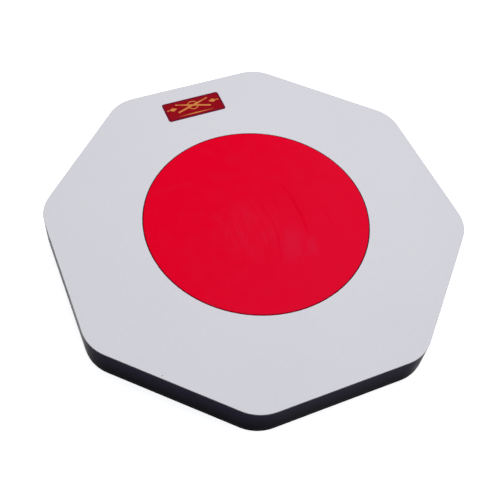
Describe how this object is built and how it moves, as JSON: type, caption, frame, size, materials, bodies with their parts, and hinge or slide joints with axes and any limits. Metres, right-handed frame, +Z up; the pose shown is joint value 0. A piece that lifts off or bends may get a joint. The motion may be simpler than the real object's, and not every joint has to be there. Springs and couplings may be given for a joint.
{
  "type": "practice pad",
  "caption": "Octagonal drum practice pad: a thick board faced in pale grey laminate with black painted edges, a round red rubber playing disc let into its top, a badge and a non-slip base.",
  "frame": {"origin": "middle of the non-slip mat's underside, on the surface that the pad rests on", "axes": "+Z up, square to the playing surface; +X and +Y square to flats of the octagon, with the badge along the +Y flat, upright when seen from -Y"},
  "size_m": [0.29, 0.29, 0.0271],
  "materials": {
    "mat_rubber": "matte black, fine pebbled texture",
    "adhesive_film": "tacky translucent film",
    "backing_laminate": "sanded dark brown phenolic sheet",
    "painted_board": "fibreboard, edges painted semi-gloss black",
    "pale_laminate": "satin pale grey decor sheet on a dark core",
    "playing_rubber": "smooth matte red rubber",
    "badge_film": "gloss crimson film",
    "badge_ink": "satin gold ink printed on the badge"
  },
  "bodies": {
    "root": {"non_slip_mat": "mat_rubber", "mat_adhesive": "adhesive_film", "balancing_laminate": "backing_laminate", "core_board": "painted_board", "top_laminate": "pale_laminate", "disc_adhesive": "adhesive_film", "playing_disc": "playing_rubber", "badge": "badge_film"}
  },
  "joints": []
}
